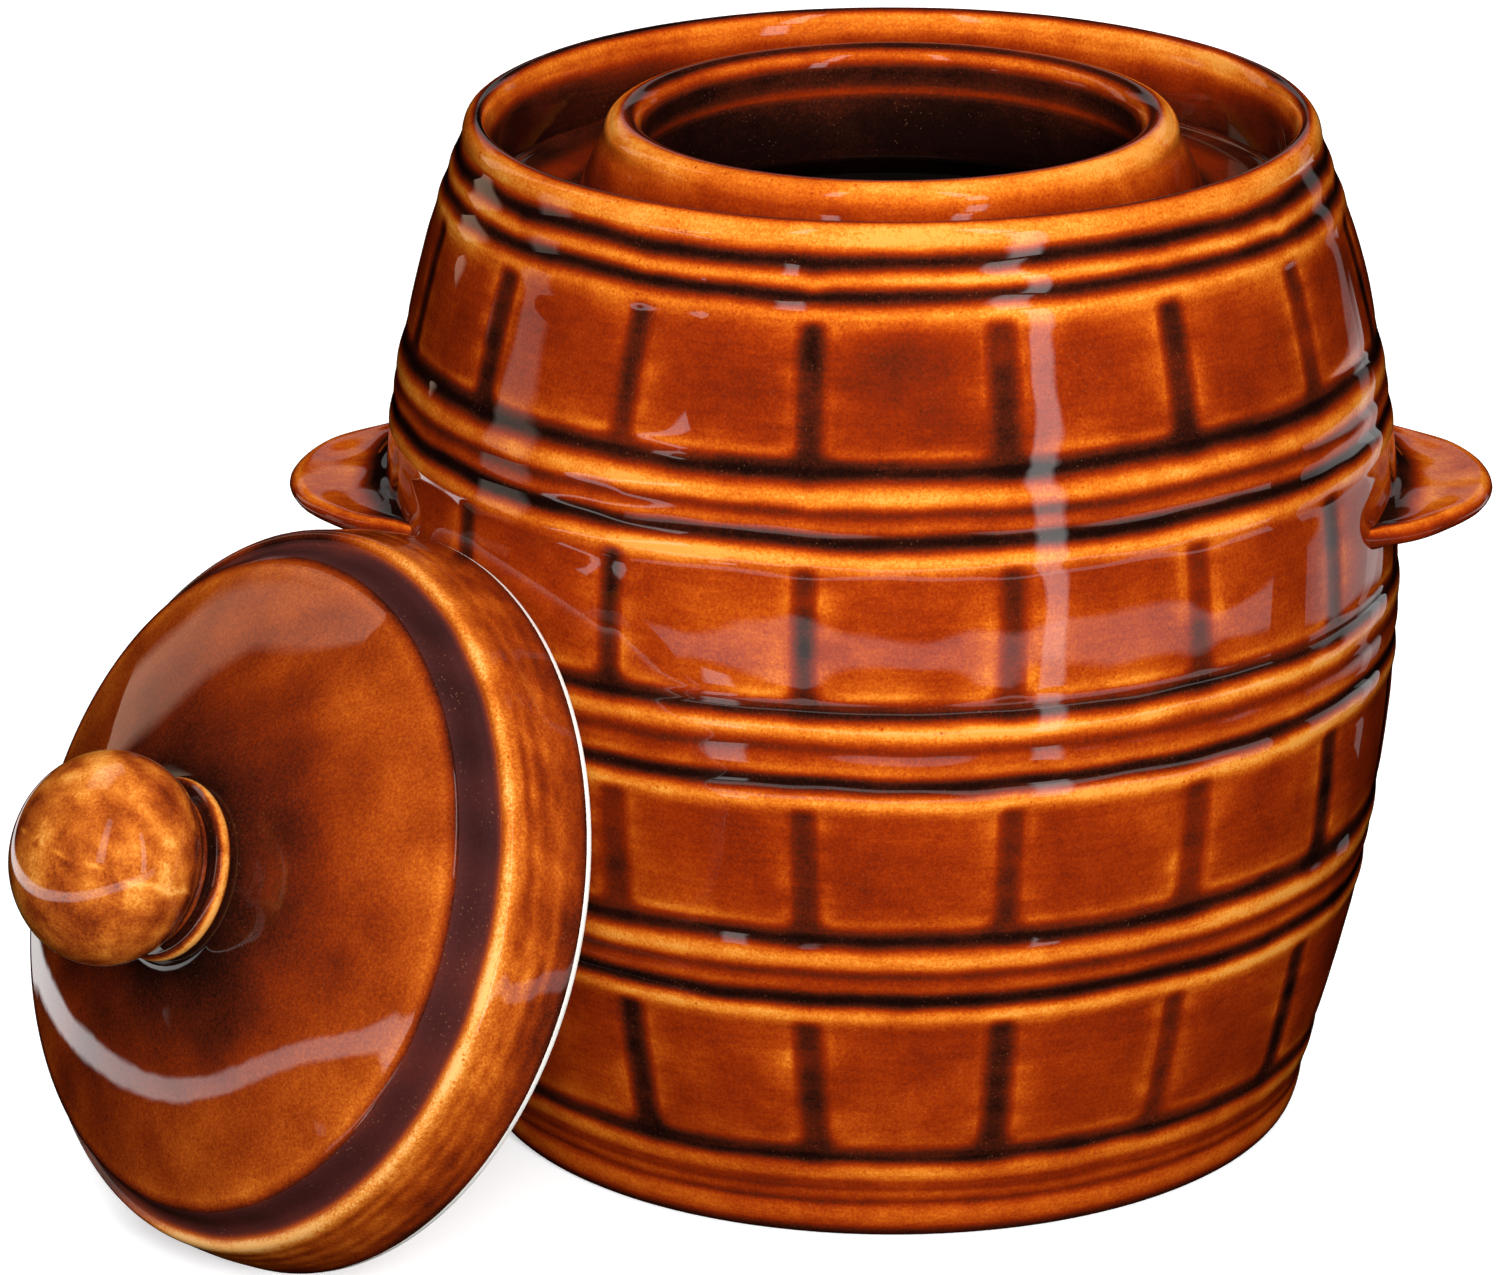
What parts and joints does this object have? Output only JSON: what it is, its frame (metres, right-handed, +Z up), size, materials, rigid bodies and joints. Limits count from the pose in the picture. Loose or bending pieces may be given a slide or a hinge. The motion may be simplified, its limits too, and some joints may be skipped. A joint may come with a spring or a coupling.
{
  "type": "water seal pickle jar",
  "caption": "Barrel-shaped glazed stoneware crock with a water channel round its neck, two half-moon lugs, a domed lid with a ball knob leaning on it, and half-moon weights inside.",
  "frame": {"origin": "centre of the barrel's foot, on the floor", "axes": "+Z up along the barrel's axis; -Y is the front that the picture faces; the lugs point along -X and +X"},
  "size_m": [0.324, 0.273, 0.23],
  "materials": {
    "barrel_glaze": "glossy translucent red-brown glaze, amber on raised edges, near black in the grooves",
    "neck_glaze": "glossy amber-brown glaze",
    "lug_glaze": "glossy amber-brown glaze",
    "lid_glaze": "glossy translucent red-brown glaze, amber ridge, dark cove",
    "knob_glaze": "glossy mottled orange-amber glaze",
    "weight_clay": "matt unglazed stoneware"
  },
  "bodies": {
    "crock": {"crock_barrel": "barrel_glaze", "neck_ring": "neck_glaze", "lug_left": "lug_glaze", "lug_right": "lug_glaze"},
    "lid": {"lid_dome": "lid_glaze", "lid_knob": "knob_glaze"},
    "front_weight": {"weight_front": "weight_clay"},
    "back_weight": {"weight_back": "weight_clay"}
  },
  "joints": [
    {"name": "lid_swing", "type": "hinge", "parent": "crock", "child": "lid", "pos_m": [0.1309, 0.10913, 0.12946], "axis": [-0.6714, 0.739, 0.056], "range_deg": [0, 67.92]},
    {"name": "weight_front_lift", "type": "slide", "parent": "crock", "child": "front_weight", "axis": [0, 0, 1], "range_m": [0, 0.24]},
    {"name": "weight_back_lift", "type": "slide", "parent": "crock", "child": "back_weight", "axis": [0, 0, 1], "range_m": [0, 0.24]}
  ]
}
